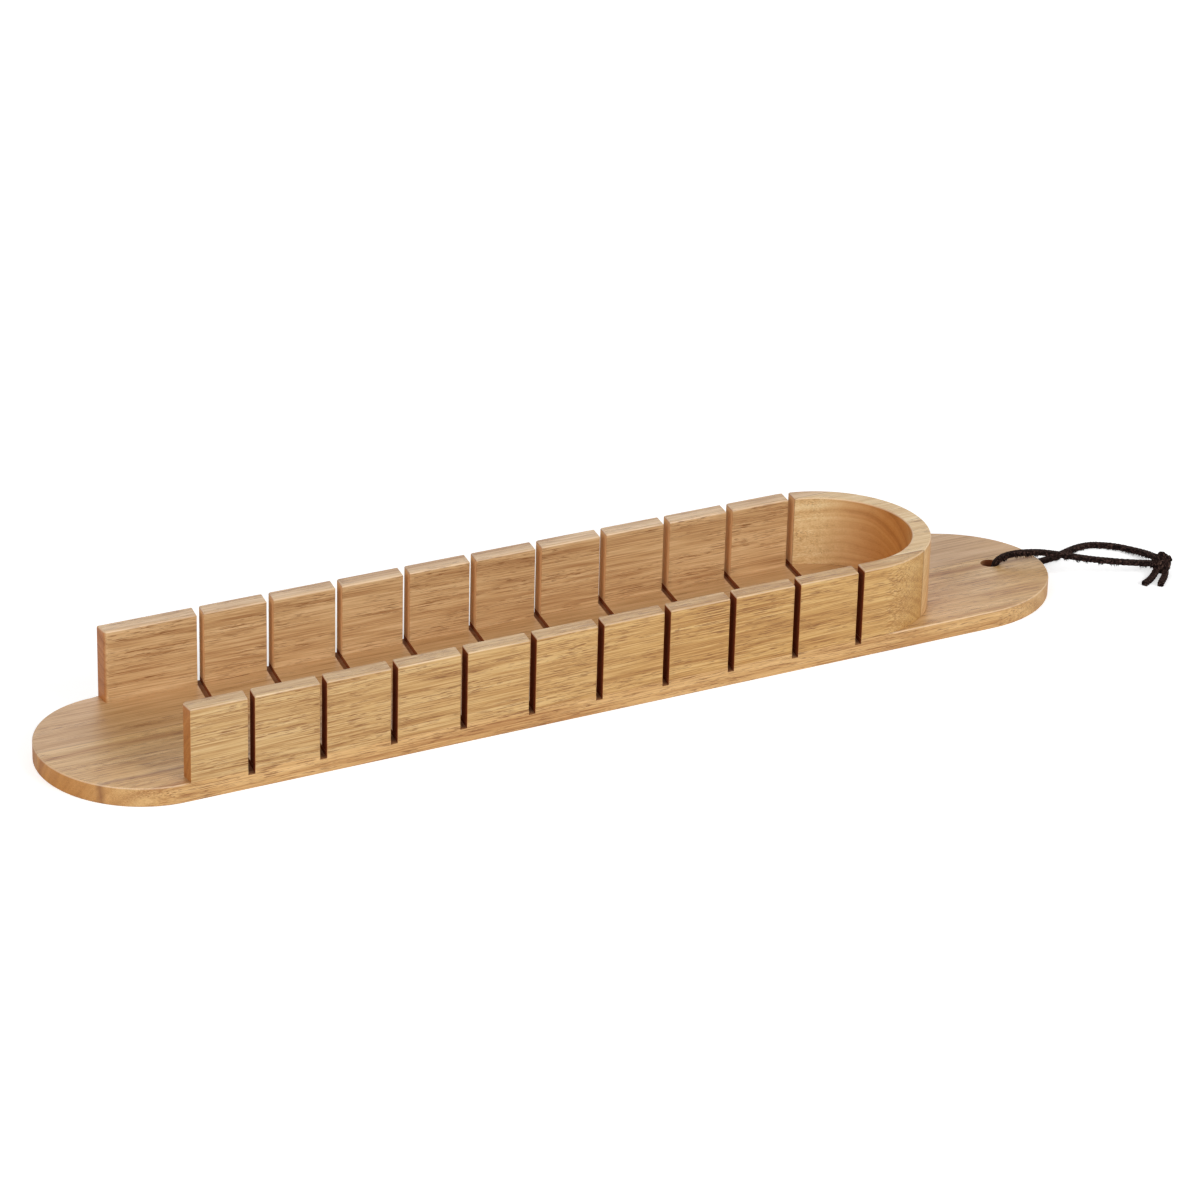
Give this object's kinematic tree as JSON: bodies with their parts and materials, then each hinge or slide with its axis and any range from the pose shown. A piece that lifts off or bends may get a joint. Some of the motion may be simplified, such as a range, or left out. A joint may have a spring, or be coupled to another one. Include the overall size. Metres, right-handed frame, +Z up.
{
  "type": "bread board",
  "caption": "Long round-ended wooden bread board with a raised U-shaped slicing guide, slanted knife kerfs and a leather hanging thong.",
  "frame": {"origin": "under the middle of the board, on the surface that it lies on", "axes": "+X along the board towards the hang hole, -Y the long side that faces the user, +Z up"},
  "size_m": [0.6732, 0.115, 0.0505],
  "materials": {
    "base_wood": "satin",
    "guide_wood": "satin",
    "dowel_wood": "matte",
    "thong_leather": "matte"
  },
  "bodies": {
    "root": {"base_near_stave": "base_wood", "base_far_stave": "base_wood", "near_guide_block_01": "guide_wood", "near_guide_block_02": "guide_wood", "near_guide_block_03": "guide_wood", "near_guide_block_04": "guide_wood", "near_guide_block_05": "guide_wood", "near_guide_block_06": "guide_wood", "near_guide_block_07": "guide_wood", "near_guide_block_08": "guide_wood", "near_guide_block_09": "guide_wood", "near_guide_block_10": "guide_wood", "far_guide_block_01": "guide_wood", "far_guide_block_02": "guide_wood", "far_guide_block_03": "guide_wood", "far_guide_block_04": "guide_wood", "far_guide_block_05": "guide_wood", "far_guide_block_06": "guide_wood", "far_guide_block_07": "guide_wood", "far_guide_block_08": "guide_wood", "far_guide_block_09": "guide_wood", "far_guide_block_10": "guide_wood", "near_rail_end": "guide_wood", "far_rail_end": "guide_wood", "end_block": "guide_wood", "near_guide_dowel_01": "dowel_wood", "near_guide_dowel_02": "dowel_wood", "near_guide_dowel_03": "dowel_wood", "near_guide_dowel_04": "dowel_wood", "near_guide_dowel_05": "dowel_wood", "near_guide_dowel_06": "dowel_wood", "near_guide_dowel_07": "dowel_wood", "near_guide_dowel_08": "dowel_wood", "near_guide_dowel_09": "dowel_wood", "near_guide_dowel_10": "dowel_wood", "near_guide_dowel_11": "dowel_wood", "far_guide_dowel_01": "dowel_wood", "far_guide_dowel_02": "dowel_wood", "far_guide_dowel_03": "dowel_wood", "far_guide_dowel_04": "dowel_wood", "far_guide_dowel_05": "dowel_wood", "far_guide_dowel_06": "dowel_wood", "far_guide_dowel_07": "dowel_wood", "far_guide_dowel_08": "dowel_wood", "far_guide_dowel_09": "dowel_wood", "far_guide_dowel_10": "dowel_wood", "far_guide_dowel_11": "dowel_wood", "end_block_dowel_01": "dowel_wood", "end_block_dowel_02": "dowel_wood", "end_block_dowel_03": "dowel_wood", "thong_upper_strand": "thong_leather", "thong_lower_strand": "thong_leather", "thong_knot": "thong_leather", "thong_long_tail": "thong_leather", "thong_short_tail": "thong_leather"}
  },
  "joints": []
}
